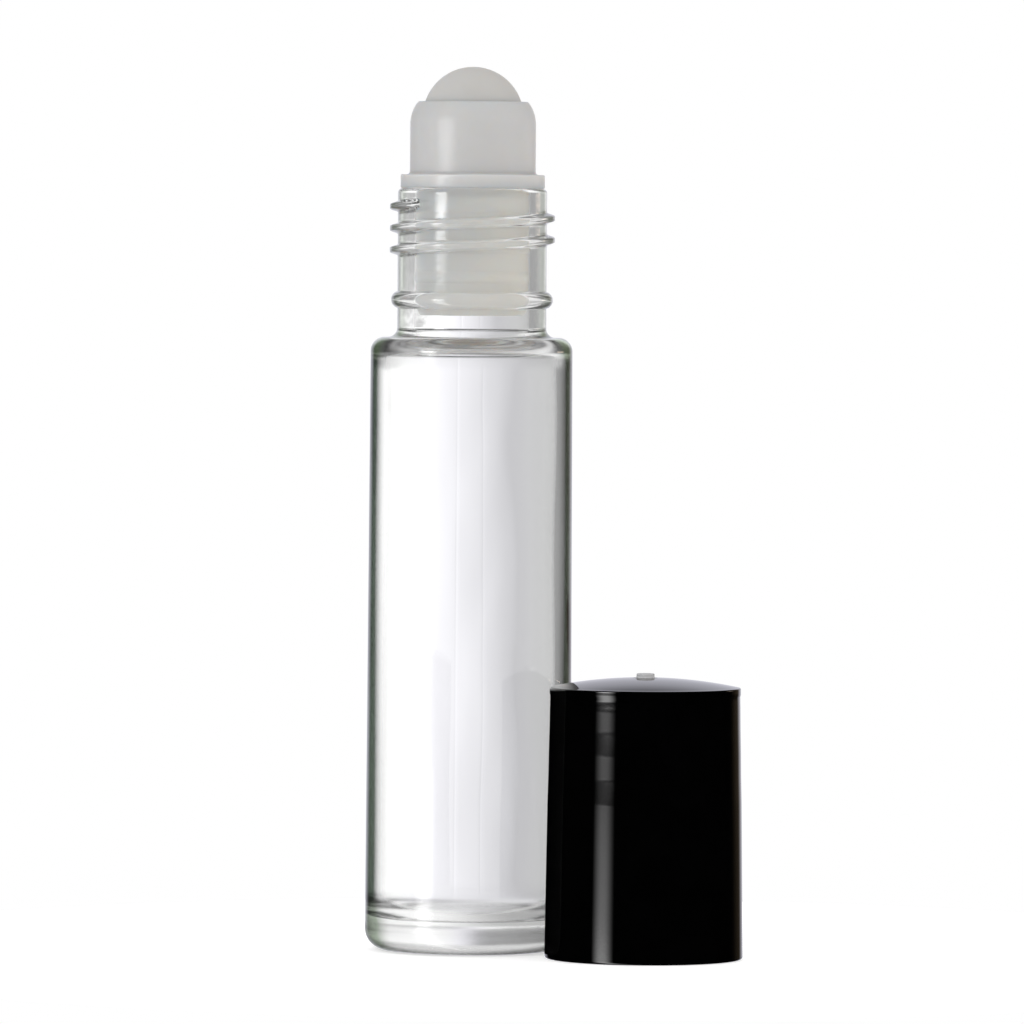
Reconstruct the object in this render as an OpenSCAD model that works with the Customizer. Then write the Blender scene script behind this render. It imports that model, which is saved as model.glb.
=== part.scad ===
// Roll-on bottle: glass bottle, one-piece ball housing, ball and screw cap.
// Millimetres, +Z up. The origin is the centre of the ring that the bottle stands on.
// The cap is off and stands on the same table, beside the bottle.

/* [Glass bottle] */
// Outer diameter of the body just above the heel
body_base_d = 19.5; // [19:0.1:26]
// Outer diameter of the body just below the shoulder
body_top_d = 19.1; // [18.6:0.05:26]
// Height of the shoulder's flat top
shoulder_z = 58; // [40:0.2:90]
// Thickness of the glass in the body
body_wall = 1.5; // [1.2:0.1:2]
// Radius of the outer corner at the shoulder
shoulder_r = 1.3; // [0.6:0.1:1.4]
// Radius of the heel, where the body turns in to the foot
heel_r = 2; // [0.8:0.1:2.4]
// Thickness of the glass from the table to the inside floor
floor_t = 3; // [2:0.1:6]
// Width of the flat ring that the bottle stands on
foot_w = 1.2; // [0.6:0.1:2]
// Height of the hollow under the bottle
punt_h = 0.7; // [0.3:0.1:1.4]

/* [Neck] */
// Outer diameter of the neck wall, without thread
neck_d = 14.1; // [13.8:0.05:14.6]
// Diameter of the neck's bore
bore_d = 11; // [10.4:0.1:11.4]
// Height of the neck from the shoulder to the rim
neck_h = 14.1; // [12.5:0.1:20]
// Height of the transfer bead's middle above the shoulder
bead_up = 3.55; // [2.5:0.05:4.5]
// Height of the transfer bead
bead_h = 1.6; // [1:0.1:2]
// How far the transfer bead stands out
bead_out = 0.6; // [0.3:0.02:0.7]

/* [Thread] */
// Rise of the thread in one turn
thread_pitch = 2.05; // [1.8:0.05:2.6]
// Turns of thread on the glass
thread_turns = 2.3; // [1.2:0.1:2.6]
// How far the thread stands out of the neck
thread_out = 0.76; // [0.4:0.02:0.8]
// Height of the thread at its root
thread_root_h = 0.95; // [0.7:0.05:1.2]
// Height of the thread at its crest
thread_crest_h = 0.42; // [0.2:0.02:0.6]
// Distance from the rim down to the middle of the thread's upper end
thread_down = 1.5; // [1:0.1:2]
// Where the thread's upper end lies, turned from the right towards the back
thread_turn = 225; // [0:5:355]

/* [Roller housing] */
// How far the flange stays inside the neck's outer edge
flange_step = 0.22; // [0.1:0.02:0.5]
// Thickness of the flange
flange_t = 1.3; // [0.8:0.1:2]
// Height of the housing above the rim
housing_h = 8.2; // [8:0.1:9]
// Thickness of the socket around the middle of the ball
socket_wall = 1.1; // [0.9:0.05:1.5]
// Width of the socket's flat lip
lip_w = 0.6; // [0.4:0.05:0.8]
// Radius of the socket's rounded top corner
crown_r = 3.6; // [3:0.1:3.8]
// Length of the plug in the neck
plug_l = 12; // [8:0.5:12]
// Thickness of the plug's wall
plug_wall = 1; // [0.7:0.1:1.5]
// Sealing beads on the plug
seal_count = 3; // [1:1:4]
// How far a sealing bead stands out of the plug
seal_out = 0.14; // [0.06:0.02:0.3]
// Radial clearance of the sealing beads in the neck
seal_gap = 0.03; // [0.02:0.01:0.08]
// Diameter of the feed hole under the ball
feed_d = 5; // [2:0.5:6]

/* [Roller ball] */
// Diameter of the ball
ball_d = 9.6; // [9:0.1:10]
// How far the ball's top stands above the lip
ball_up = 3.3; // [2.8:0.1:3.6]
// Clearance between ball and socket
ball_gap = 0.05; // [0.03:0.01:0.1]

/* [Cap] */
// Thickness of the cap's side
cap_wall = 1.25; // [0.8:0.05:2]
// Thickness of the cap's top
cap_top_t = 0.9; // [0.7:0.1:1.5]
// How much the cap's outer radius shrinks from the mouth to the top edge
cap_draft = 0.35; // [0:0.05:0.5]
// Rise of the cap's domed top
cap_dome_h = 0.9; // [0.4:0.1:2]
// Gap between the closed cap and the shoulder
skirt_gap = 0.3; // [0.2:0.05:1.5]
// Turns of thread in the cap
cap_thread_turns = 1.5; // [1:0.1:2]
// Clearance between the cap's thread and the neck, and between the neck's thread and the cap
cap_thread_gap = 0.25; // [0.1:0.05:0.3]
// Thickness of the sealing sleeve inside the cap
sleeve_t = 0.8; // [0.5:0.1:1]
// Clearance between the sleeve and the socket
sleeve_gap = 0.25; // [0.15:0.05:0.4]
// Diameter of the nub that the mould's gate leaves on the top
nub_d = 1.7; // [1:0.1:3]
// Height of the nub
nub_h = 0.4; // [0.2:0.1:0.8]

/* [Place of the cap] */
// Gap between the cap and the bottle
stand_gap = 0.15; // [0.1:0.05:20]
// Direction of the cap from the bottle, turned from the right towards the front
stand_turn = 30.5; // [0:0.1:360]

/* [Hidden] */
$fn = 96;

// Glass
base_r = body_base_d / 2;
top_r = body_top_d / 2;
neck_r = neck_d / 2;
bore_r = bore_d / 2;
rim_z = shoulder_z + neck_h;
bead_z = shoulder_z + bead_up;
neck_root_r = 0.9;      // fillet between shoulder and neck
rim_out_r = 0.45;       // rounding of the rim, outer edge
rim_in_r = 0.3;         // rounding of the rim, inner edge
ceiling_t = 1;          // glass between the shoulder's top and the inside
ceiling_z = shoulder_z - ceiling_t;
inner_corner_r = 0.9;   // inside corner under the shoulder
bore_mouth_r = 0.6;     // rounding where the bore opens into the body
floor_corner_r = 2.4;   // inside corner at the floor
floor_rise = 0.5;       // the inside floor is higher in the middle

// Housing and ball
ball_r = ball_d / 2;
seat_r = ball_r + ball_gap;
lip_z = rim_z + housing_h;
ball_top_z = lip_z + ball_up;
ball_z = ball_top_z - ball_r;
socket_r = seat_r + socket_wall;
lip_r = sqrt(seat_r * seat_r - pow(lip_z - ball_z, 2)) + lip_w;
flange_r = neck_r - flange_step;
flange_z = rim_z + flange_t;
flange_edge_r = 0.15;   // broken edges of the flange
plug_r = bore_r - seal_gap - seal_out;
plug_bore_r = plug_r - plug_wall;
plug_z = rim_z - plug_l;
seal_h = 1.1;           // height of one sealing bead
seal_lead = 0.8;        // chamfer at the plug's lower end
web_t = 0.7;            // from the rim up to the web under the ball
web_z = rim_z + web_t;

// Cap, with heights measured from its mouth
closed_z = shoulder_z + skirt_gap;
top_gap = 0.15;         // between the closed cap and the ball or the flange
cap_in_r = neck_r + thread_out + cap_thread_gap;
mouth_r = cap_in_r + cap_wall;
cap_top_r = mouth_r - cap_draft;
cap_ceiling_z = ball_top_z + top_gap - closed_z;
cap_h = cap_ceiling_z + cap_top_t;
cap_side_h = cap_h - cap_dome_h;
cap_edge_r = 0.25;      // broken edges at the mouth and the top
nub_edge_r = 0.12;
sleeve_r = socket_r + sleeve_gap;
sleeve_z = flange_z + top_gap - closed_z;
cap_thread_out = thread_out;
// The cap's ridge runs half a turn below the end of the thread on the glass
half_turn_share = 0.5;
cap_thread_rise = thread_pitch * (cap_thread_turns + half_turn_share);
cap_thread_z = rim_z - thread_down - cap_thread_rise - closed_z;

stand_r = base_r + stand_gap + mouth_r;
stand_x = stand_r * cos(stand_turn);
stand_y = -stand_r * sin(stand_turn);

// Sweep of a thread ridge
thread_steps = 36;      // rings in one turn
thread_sink = 0.25;     // depth that the ridge reaches into its wall
fade_angle = 40;        // each end of the ridge dies away over this angle
fade_end_share = 0.12;  // height of the ridge at its very end, of its full height

arc_steps = 8;

// Points of an arc round (x, y), from angle a to angle b
function arc(x, y, r, a, b) =
    [for (i = [0:arc_steps]) let (t = a + (b - a) * i / arc_steps) [x + r * cos(t), y + r * sin(t)]];

// A round bump on a vertical wall of radius r, from its lower to its upper end
function bump(r, z, h, out) =
    let (bump_r = (h * h / 4 + out * out) / (2 * out), half = asin(h / 2 / bump_r))
    arc(r + out - bump_r, z, bump_r, -half, half);

// Radius of the sphere whose dome of radius r rises by h
function dome_r(r, h) = (r * r + h * h) / (2 * h);

// A low dome that starts at (r, z), from there in to radius r_in
function dome(r, z, h, r_in = 0) =
    let (big_r = dome_r(r, h))
    arc(0, z + h - big_r, big_r, acos(r / big_r), acos(r_in / big_r));

function reversed(points) = [for (i = [len(points) - 1:-1:0]) points[i]];

// Share of its full height that the ridge has at angle t of a sweep over span degrees
function fade(t, span) =
    let (part = min(1, min(t, span - t) / fade_angle))
    fade_end_share + (1 - fade_end_share) * sin(part * 90);

// Cross-section of a ridge that stands out by k times its full height, with flanks that run on
// at their own slope into the wall
function ridge_profile(out, k) =
    let (crest = thread_crest_h / 2, root = thread_root_h / 2)
    let (foot = root + (root - crest) * thread_sink / out)
    [[-thread_sink, -foot], [out * k, -crest], [out * k, crest], [-thread_sink, foot]];

// A helical ridge on a wall of radius r, turned outwards (way 1) or inwards (way -1)
module ridge(r, out, turns, way) {
    span = turns * 360;
    count = ceil(turns * thread_steps);
    points = [for (i = [0:count])
        let (t = span * i / count, z = thread_pitch * t / 360)
        for (p = ridge_profile(out, fade(t, span)))
        [(r + way * p[0]) * cos(t), (r + way * p[0]) * sin(t), z + p[1]]];
    n = len(ridge_profile(out, 1));
    sides = [for (i = [0:count - 1], j = [0:n - 1])
        let (a = i * n + j, b = i * n + (j + 1) % n)
        each [[a, a + n, b], [b, a + n, b + n]]];
    last = count * n;
    ends = [for (j = [1:n - 2]) each [[0, j, j + 1], [last, last + j + 1, last + j]]];
    faces = concat(sides, ends);
    polyhedron(points, way > 0 ? [for (f = faces) reversed(f)] : faces, convexity = 8);
}

module glass_profile() {
    foot_r = base_r - heel_r;
    wall_top_r = top_r - body_wall;
    wall_base_r = base_r - body_wall;
    polygon(concat(
        reversed(dome(foot_r - foot_w, 0, punt_h)),
        arc(foot_r, heel_r, heel_r, -90, 0),
        arc(top_r - shoulder_r, shoulder_z - shoulder_r, shoulder_r, 0, 90),
        arc(neck_r + neck_root_r, shoulder_z + neck_root_r, neck_root_r, 270, 180),
        bump(neck_r, bead_z, bead_h, bead_out),
        arc(neck_r - rim_out_r, rim_z - rim_out_r, rim_out_r, 0, 90),
        arc(bore_r + rim_in_r, rim_z - rim_in_r, rim_in_r, 90, 180),
        arc(bore_r + bore_mouth_r, ceiling_z + bore_mouth_r, bore_mouth_r, 180, 270),
        arc(wall_top_r - inner_corner_r, ceiling_z - inner_corner_r, inner_corner_r, 90, 0),
        arc(wall_base_r - floor_corner_r, floor_t + floor_corner_r, floor_corner_r, 0, -90),
        dome(wall_base_r - floor_corner_r, floor_t, floor_rise)));
}

module glass_bottle() {
    color([0.85, 0.92, 0.9, 0.45]) union() {
        rotate_extrude() glass_profile();
        translate([0, 0, rim_z - thread_down - thread_pitch * thread_turns])
            rotate([0, 0, thread_turn - thread_turns * 360])
                ridge(neck_r, thread_out, thread_turns, 1);
    }
}

module housing_profile() {
    crown_x = socket_r - crown_r;
    crown_drop = sqrt(crown_r * crown_r - pow(lip_r - crown_x, 2));
    seal_step = (plug_l - seal_lead) / (seal_count + 1);
    polygon(concat(
        [[plug_bore_r, plug_z], [plug_r - seal_lead / 2, plug_z], [plug_r, plug_z + seal_lead]],
        [for (i = [1:seal_count])
            each bump(plug_r, plug_z + seal_lead + i * seal_step, seal_h, seal_out)],
        [[plug_r, rim_z]],
        arc(flange_r - flange_edge_r, rim_z + flange_edge_r, flange_edge_r, -90, 0),
        arc(flange_r - flange_edge_r, flange_z - flange_edge_r, flange_edge_r, 0, 90),
        [[socket_r, flange_z]],
        arc(crown_x, lip_z - crown_drop, crown_r, 0, asin(crown_drop / crown_r)),
        [[feed_d / 2, lip_z], [feed_d / 2, web_z], [plug_bore_r, web_z]]));
}

module roller_housing() {
    color([0.82, 0.82, 0.8]) difference() {
        rotate_extrude() housing_profile();
        translate([0, 0, ball_z]) sphere(r = seat_r);
    }
}

module roller_ball() {
    color([0.78, 0.78, 0.76]) translate([0, 0, ball_z]) sphere(r = ball_r);
}

module cap_profile() {
    nub_r = nub_d / 2;
    edge_r = cap_top_r - cap_edge_r;
    sleeve_out_r = sleeve_r + sleeve_t;
    // The ceiling inside the sleeve follows the dome
    ceiling_rise = cap_dome_h * pow(sleeve_r / edge_r, 2);
    shell_z = cap_side_h - cap_top_t;
    polygon(concat(
        arc(mouth_r - cap_edge_r, cap_edge_r, cap_edge_r, -90, 0),
        arc(edge_r, cap_side_h - cap_edge_r, cap_edge_r, 0, 90),
        dome(edge_r, cap_side_h, cap_dome_h, nub_r),
        arc(nub_r - nub_edge_r, cap_h + nub_h - nub_edge_r, nub_edge_r, 0, 90),
        [[0, cap_h + nub_h]],
        reversed(dome(sleeve_r, cap_ceiling_z - ceiling_rise, ceiling_rise)),
        [[sleeve_r, sleeve_z], [sleeve_out_r, sleeve_z], [sleeve_out_r, shell_z]],
        [[cap_top_r - cap_wall, shell_z], [cap_in_r, 0]]));
}

module cap() {
    color([0.03, 0.03, 0.035]) translate([stand_x, stand_y, 0]) union() {
        rotate_extrude() cap_profile();
        translate([0, 0, cap_thread_z])
            ridge(cap_in_r, cap_thread_out, cap_thread_turns, -1);
    }
}

glass_bottle();
roller_housing();
roller_ball();
cap();
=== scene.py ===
from math import acos, asin, atan, ceil, cos, degrees, hypot, pi, radians, sin, sqrt
import bpy
import numpy as np
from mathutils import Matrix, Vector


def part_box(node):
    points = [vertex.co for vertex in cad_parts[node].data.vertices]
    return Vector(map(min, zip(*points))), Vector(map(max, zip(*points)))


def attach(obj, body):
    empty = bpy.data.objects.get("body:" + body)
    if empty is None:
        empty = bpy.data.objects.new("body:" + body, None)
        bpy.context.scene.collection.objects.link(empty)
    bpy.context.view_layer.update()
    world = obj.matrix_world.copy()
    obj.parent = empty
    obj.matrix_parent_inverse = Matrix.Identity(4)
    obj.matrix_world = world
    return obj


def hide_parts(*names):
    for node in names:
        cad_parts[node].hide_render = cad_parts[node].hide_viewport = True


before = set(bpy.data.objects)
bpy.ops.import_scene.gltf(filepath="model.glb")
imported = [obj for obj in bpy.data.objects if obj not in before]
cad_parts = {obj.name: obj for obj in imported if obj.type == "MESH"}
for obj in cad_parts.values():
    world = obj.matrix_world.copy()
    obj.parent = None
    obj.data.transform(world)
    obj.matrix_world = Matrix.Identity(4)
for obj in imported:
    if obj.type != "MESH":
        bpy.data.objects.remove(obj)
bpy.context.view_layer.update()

mm = 0.001
tiny = 1e-6     # shorter than anything drawn here, mm


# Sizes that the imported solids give, in millimetres

def nodeBox(node):
    low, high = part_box(node)
    return [v / mm for v in low], [v / mm for v in high]


glassLow, glassHigh = nodeBox("glass_bottle")
housingLow, housingHigh = nodeBox("roller_housing")
ballLow, ballHigh = nodeBox("roller_ball")
capLow, capHigh = nodeBox("cap")

bodyR = (glassHigh[0] - glassLow[0]) / 2
rimZ = glassHigh[2]
plugZ = housingLow[2]
lipZ = housingHigh[2]
flangeR = (housingHigh[0] - housingLow[0]) / 2
ballR = (ballHigh[2] - ballLow[2]) / 2
ballZ = (ballHigh[2] + ballLow[2]) / 2
capR = (capHigh[0] - capLow[0]) / 2
capTall = capHigh[2] - capLow[2]
capX = (capHigh[0] + capLow[0]) / 2
capY = (capHigh[1] + capLow[1]) / 2


# The camera looks along +Y from the height of the neck's rim, as the photo does

camera = {
    "distance": 935,        # to the bottle's axis, mm
    "height": 70,           # above the table, mm
    "aim": 41.5,            # height that the middle of the picture shows, mm
    "side": 3.93,           # right of the bottle's axis, mm
    "roll": 0.4,            # degrees
    "lens": 347.3,
    "sensor": 36,
    "reach": 20,            # how far it sees, metres
}


def makeCamera():
    data = bpy.data.cameras.new("camera")
    data.lens = camera["lens"]
    data.sensor_width = camera["sensor"]
    data.clip_end = camera["reach"]
    cam = bpy.data.objects.new("camera", data)
    cam.location = (camera["side"] * mm, -camera["distance"] * mm, camera["height"] * mm)
    down = atan((camera["height"] - camera["aim"]) / camera["distance"])
    cam.rotation_mode = "ZYX"
    cam.rotation_euler = (pi / 2 - down, 0, radians(camera["roll"]))
    bpy.context.collection.objects.link(cam)
    bpy.context.scene.camera = cam


# Outlines are lists of (radius, height) in millimetres

def arc(x, z, r, a, b, steps=10):
    turns = [radians(a + (b - a) * i / steps) for i in range(steps + 1)]
    return [(x + r * cos(t), z + r * sin(t)) for t in turns]


def bump(r, z, height, out, steps=12):
    big = (height * height / 4 + out * out) / (2 * out)
    half = degrees(asin(height / 2 / big))
    return arc(r + out - big, z, big, -half, half, steps)


def dome(r, z, height, inner=0.0, steps=16):
    big = (r * r + height * height) / (2 * height)
    return arc(0, z + height - big, big, degrees(acos(r / big)), degrees(acos(inner / big)), steps)


def dense(outline, step, near=0.04, straight=0.6):
    # straight runs get rows every step, and one close to each end,
    # which keeps the shading flat up to the corners
    points = [outline[0]]
    for a, b in zip(outline, outline[1:]):
        length = hypot(b[0] - a[0], b[1] - a[1])
        if length < tiny:
            continue
        shares = []
        if length > straight:
            inner = length - 2 * near
            rows = max(1, ceil(inner / step))
            shares = [(near + inner * i / rows) / length for i in range(rows + 1)]
        points += [(a[0] + (b[0] - a[0]) * s, a[1] + (b[1] - a[1]) * s) for s in shares]
        points.append(b)
    return points


def smooth(t):
    t = np.clip(t, 0, 1)
    return t * t * t * (t * (6 * t - 15) + 10)


def turnOutline(name, outline, angles, centre=(0, 0), shift=None, insideFrom=None, closed=False):
    # a surface of revolution; shift(r, z, angles) moves points in or out,
    # and the rows from insideFrom on get the second material
    outline = list(outline) + ([outline[0]] if closed else [])
    count = len(angles)
    verts = []
    rows = []
    for i, (r, z) in enumerate(outline):
        if closed and i == len(outline) - 1:
            rows.append(rows[0])
            continue
        if r < tiny:
            rows.append([len(verts)])
            verts.append((centre[0] * mm, centre[1] * mm, z * mm))
            continue
        radius = np.full(count, r)
        if shift is not None:
            radius = radius + shift(r, z, angles)
        start = len(verts)
        verts += [((centre[0] + q * cos(t)) * mm, (centre[1] + q * sin(t)) * mm, z * mm)
                  for q, t in zip(radius, angles)]
        rows.append(list(range(start, start + count)))
    faces = []
    marks = []
    for i, (low, high) in enumerate(zip(rows, rows[1:])):
        if len(low) == 1 and len(high) == 1:
            continue
        mark = int(insideFrom is not None and i >= insideFrom)
        for j in range(count):
            k = (j + 1) % count
            if len(low) == 1:
                face = (low[0], high[k], high[j])
            elif len(high) == 1:
                face = (low[j], low[k], high[0])
            else:
                face = (low[j], low[k], high[k], high[j])
            faces.append(face)
            marks.append(mark)
    mesh = bpy.data.meshes.new(name)
    mesh.from_pydata(verts, [], faces)
    mesh.polygons.foreach_set("use_smooth", [True] * len(faces))
    mesh.polygons.foreach_set("material_index", marks)
    mesh.update()
    piece = bpy.data.objects.new(name, mesh)
    bpy.context.collection.objects.link(piece)
    return piece


def evenAngles(step):
    return np.radians(np.arange(0, 360, step))


def helixRidge(ridge, angles, z):
    # how far a helical ridge stands out at height z, for each angle
    span = ridge["turns"] * 360
    start = radians(ridge["endAngle"] - span)
    out = np.zeros(len(angles))
    for turn in range(-1, ceil(ridge["turns"]) + 2):
        along = np.degrees((angles - start) % (2 * pi)) + 360 * turn
        middle = ridge["endZ"] - ridge["pitch"] * (span - along) / 360
        edge = np.minimum(along, span - along) / ridge["fade"]
        k = np.where(edge > 0, np.sin(np.clip(edge, 0, 1) * pi / 2), 0)
        flank = (ridge["rootHalf"] - np.abs(z - middle)) / (ridge["rootHalf"] - ridge["crestHalf"])
        out = np.maximum(out, ridge["out"] * k * smooth(flank))
    return out


def ridgeLow(ridge):
    return ridge["endZ"] - ridge["pitch"] * (ridge["turns"] + ridge["spare"])


# Shader helpers

def newMaterial(name):
    material = bpy.data.materials.new(name)
    material.use_nodes = True
    tree = material.node_tree
    return material, tree, tree.nodes["Principled BSDF"]


def addNode(tree, kind, **values):
    node = tree.nodes.new(kind)
    for key, value in values.items():
        if hasattr(node, key):
            setattr(node, key, value)
        else:
            node.inputs[key.replace("_", " ")].default_value = value
    return node


def noise(tree, scale, detail=3.0, rough=0.5, stretch=(1, 1, 1)):
    # procedural noise in object space, metres
    place = addNode(tree, "ShaderNodeTexCoord")
    mapping = addNode(tree, "ShaderNodeMapping", Scale=stretch)
    texture = addNode(tree, "ShaderNodeTexNoise", Scale=scale, Detail=detail, Roughness=rough)
    tree.links.new(place.outputs["Object"], mapping.inputs["Vector"])
    tree.links.new(mapping.outputs["Vector"], texture.inputs["Vector"])
    return texture.outputs["Fac"]


def ranged(tree, value, low, high, toLow, toHigh):
    node = addNode(tree, "ShaderNodeMapRange", interpolation_type="SMOOTHSTEP")
    node.inputs["From Min"].default_value = low
    node.inputs["From Max"].default_value = high
    node.inputs["To Min"].default_value = toLow
    node.inputs["To Max"].default_value = toHigh
    tree.links.new(value, node.inputs["Value"])
    return node.outputs["Result"]


def between(tree, value, span, toLow, toHigh):
    # the same, where the span is in millimetres
    return ranged(tree, value, span[0] * mm, span[1] * mm, toLow, toHigh)


def maths(tree, way, a, b=0):
    node = addNode(tree, "ShaderNodeMath", operation=way)
    for socket, value in zip(node.inputs, (a, b)):
        if isinstance(value, (int, float)):
            socket.default_value = value
        else:
            tree.links.new(value, socket)
    return node.outputs[0]


def product(tree, *values):
    result = values[0]
    for value in values[1:]:
        result = maths(tree, "MULTIPLY", result, value)
    return result


def largest(tree, *values):
    result = values[0]
    for value in values[1:]:
        result = maths(tree, "MAXIMUM", result, value)
    return result


def oneLess(tree, value):
    return maths(tree, "SUBTRACT", 1, value)


def mixColour(tree, factor, a, b, way="MIX"):
    node = addNode(tree, "ShaderNodeMix", data_type="RGBA", blend_type=way)
    colours = [s for s in node.inputs if s.type == "RGBA"]
    for socket, value in zip([node.inputs["Factor"]] + colours, (factor, a, b)):
        if isinstance(value, (int, float)):
            socket.default_value = value
        elif isinstance(value, tuple):
            socket.default_value = (*value, 1)
        else:
            tree.links.new(value, socket)
    return [s for s in node.outputs if s.type == "RGBA"][0]


def mixShader(tree, factor, a, b):
    node = addNode(tree, "ShaderNodeMixShader")
    for socket, value in zip(node.inputs, (factor, a, b)):
        tree.links.new(value, socket)
    return node.outputs["Shader"]


def bumped(tree, shader, height, distance, before=None):
    node = addNode(tree, "ShaderNodeBump", Strength=1.0, Distance=distance)
    tree.links.new(height, node.inputs["Height"])
    if before is not None:
        tree.links.new(before, node.inputs["Normal"])
    tree.links.new(node.outputs["Normal"], shader.inputs["Normal"])
    return node.outputs["Normal"]


def heightIn(tree):
    place = addNode(tree, "ShaderNodeTexCoord")
    split = addNode(tree, "ShaderNodeSeparateXYZ")
    tree.links.new(place.outputs["Object"], split.inputs["Vector"])
    return split.outputs["Z"]


def radiusIn(tree):
    # distance from the bottle's axis
    place = addNode(tree, "ShaderNodeTexCoord")
    flat = addNode(tree, "ShaderNodeVectorMath", operation="MULTIPLY")
    flat.inputs[1].default_value = (1, 1, 0)
    length = addNode(tree, "ShaderNodeVectorMath", operation="LENGTH")
    tree.links.new(place.outputs["Object"], flat.inputs[0])
    tree.links.new(flat.outputs["Vector"], length.inputs[0])
    return length.outputs["Value"]


# Glass bottle, clear, with painted green-grey shade towards its edges; all lengths and heights are in mm

glass = {
    "topR": 9.55,
    "shoulderZ": 58,
    "wall": 1.5,
    "shoulderR": 1.3,
    "heelR": 2,
    "floorT": 3,
    "footW": 1.2,
    "puntH": 0.7,
    "neckR": 7.05,
    "boreR": 5.5,
    "beadUp": 3.55,
    "beadH": 1.6,
    "beadOut": 0.6,
    "rootR": 0.9,
    "rimOutR": 0.45,
    "rimInR": 0.3,
    "ceilingT": 1,
    "innerCornerR": 0.9,
    "boreMouthR": 0.6,
    "floorCornerR": 2.4,
    "floorRise": 0.5,
    "rowStep": 1.6,         # the mesh's rows on straight walls
    "threadRow": 0.07,      # and where the thread runs
    "columns": 240,
    "skinGap": 0.05,        # how far off a point still counts as the inside wall's
    "neckGap": 0.01,        # and as the outside's
    # the mould's parting line, near the front, and the one opposite it; angles in degrees
    "seamAngle": 262.5,
    "seamOut": 0.004,
    "seamHalf": 0.7,
    "seamStep": 0.12,       # between the columns that draw it
    "seamReach": 1.5,
    "seamFade": 4,
    # the inside wall is uneven: waves round it, their turn per mm of height, start and share
    "waveOut": 0.03,
    "waves": ((2, 0.09, 0.6, 1), (3, -0.13, 2.1, 0.6), (5, 0.31, 0, 0.35)),
    "waveZ": (5.4, 56),
    "waveFade": 6,
    "ior": 1.5,
    "clear": (0.997, 1.0, 0.996),
    # painted shade: where the wall turns away the glass is coloured dark green-grey, which stands in for
    # the dark surroundings; only the faint green is the glass's own
    "paintedEdgeShade": (0.009, 0.0145, 0.0095),
    "edgeFrom": 0.42,       # 0 face on, 1 edge on
    "edgeTo": 0.665,
    "levelLeast": 0.05,     # keeps the sum for steep views from running off
    "lowerEdge": 0.045,     # how much wider the painted edge shade is at the foot of the wall
    "lowerEdgeZ": (8, 45),
    "footEdge": 0.06,       # and again in the solid foot
    "footEdgeZ": (2.5, 4),
    # the painted edge shade is lighter where the glass is thick, in the foot and the shoulder's corner
    "footPaintedShade": (0.2, 0.265, 0.18),
    "footZ": (3.8, 5.2),
    "shoulderPaintedShade": (0.42, 0.56, 0.36),
    "shoulderFromZ": (55.8, 57),
    "shadeChangeZ": (20, 30),
    "neckEdge": 0.4,        # the thin neck gets less of the painted edge shade
    "neckEdgeZ": (58, 59),
    "milk": 0.2,            # light scattered in the shoulder's thick corner and the neck's edges
    "milkZ": (55.8, 56.6),
    "ridgeMilk": 0.2,       # and in the thread and the bead
    "ridgeOut": (0.1, 0.35),
    "ridgeZ": (59, 60),
    "mirrored": (0.0, 0.0, 0.0),    # painted dark reflection: the colour the bottle takes in the cap's gloss, up to this height
    "mirroredZ": (24.9, 25.4),
    "mirroredBlur": 0.4,
    "haze": {"scale": 900, "detail": 4},
    "hazeRange": (0.3, 0.75, 0.0, 0.035),
    "footBlur": 0.22,       # the heel's surface isn't fire-polished
    "footBlurZ": (2.2, 3.2),
    "neckBlur": 0.05,
    "neckBlurZ": (58.5, 59.5),
    "swell": {"scale": 130, "detail": 2, "stretch": (1, 1, 0.35)},
    "swellDepth": 0.06,
    "ripple": {"scale": 650, "detail": 2},
    "rippleDepth": 0.005,
    "rippleBody": 0.1,      # its share below the neck
    "rippleZ": (58, 60),
    "insideHaze": {"scale": 700, "detail": 3},
    "insideHazeRange": (0.3, 0.8, 0.0, 0.03),
    "cornerBlur": 0.2,      # nor are the corners inside
    "floorBlurZ": (5.2, 6.2),
    "ceilingBlurZ": (54.7, 55.7),
    "boreBlurZ": (58, 59),
    "insideSwell": {"scale": 90, "detail": 2, "stretch": (1, 1, 0.3)},
    "insideSwellDepth": 0.1,
}
neckThread = {
    "pitch": 2.05,
    "turns": 2.3,
    "out": 0.76,
    "rootHalf": 0.58,
    "crestHalf": 0.16,
    "fade": 40,
    "endAngle": 225,
    "endZ": rimZ - 1.5,
    "spare": 0.4,           # turns of room below its lower end
    "lowest": 6,            # above the shoulder
    "highest": 0.5,         # below the rim
}


def glassOuter():
    g = glass
    footR = bodyR - g["heelR"]
    return (dome(footR - g["footW"], 0, g["puntH"])[::-1]
            + arc(footR, g["heelR"], g["heelR"], -90, 0, 14)
            + arc(g["topR"] - g["shoulderR"], g["shoulderZ"] - g["shoulderR"], g["shoulderR"], 0, 90, 14)
            + arc(g["neckR"] + g["rootR"], g["shoulderZ"] + g["rootR"], g["rootR"], 270, 180, 8)
            + bump(g["neckR"], g["shoulderZ"] + g["beadUp"], g["beadH"], g["beadOut"], 18)
            + arc(g["neckR"] - g["rimOutR"], rimZ - g["rimOutR"], g["rimOutR"], 0, 90))


def glassInner():
    g = glass
    ceilingZ = g["shoulderZ"] - g["ceilingT"]
    topR = g["topR"] - g["wall"]
    baseR = bodyR - g["wall"]
    corner = g["innerCornerR"]
    floorR = g["floorCornerR"]
    return (arc(g["boreR"] + g["rimInR"], rimZ - g["rimInR"], g["rimInR"], 90, 180)
            + arc(g["boreR"] + g["boreMouthR"], ceilingZ + g["boreMouthR"], g["boreMouthR"], 180, 270)
            + arc(topR - corner, ceilingZ - corner, corner, 90, 0, 12)
            + arc(baseR - floorR, g["floorT"] + floorR, floorR, 0, -90, 14)
            + dome(baseR - floorR, g["floorT"], g["floorRise"]))


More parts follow.
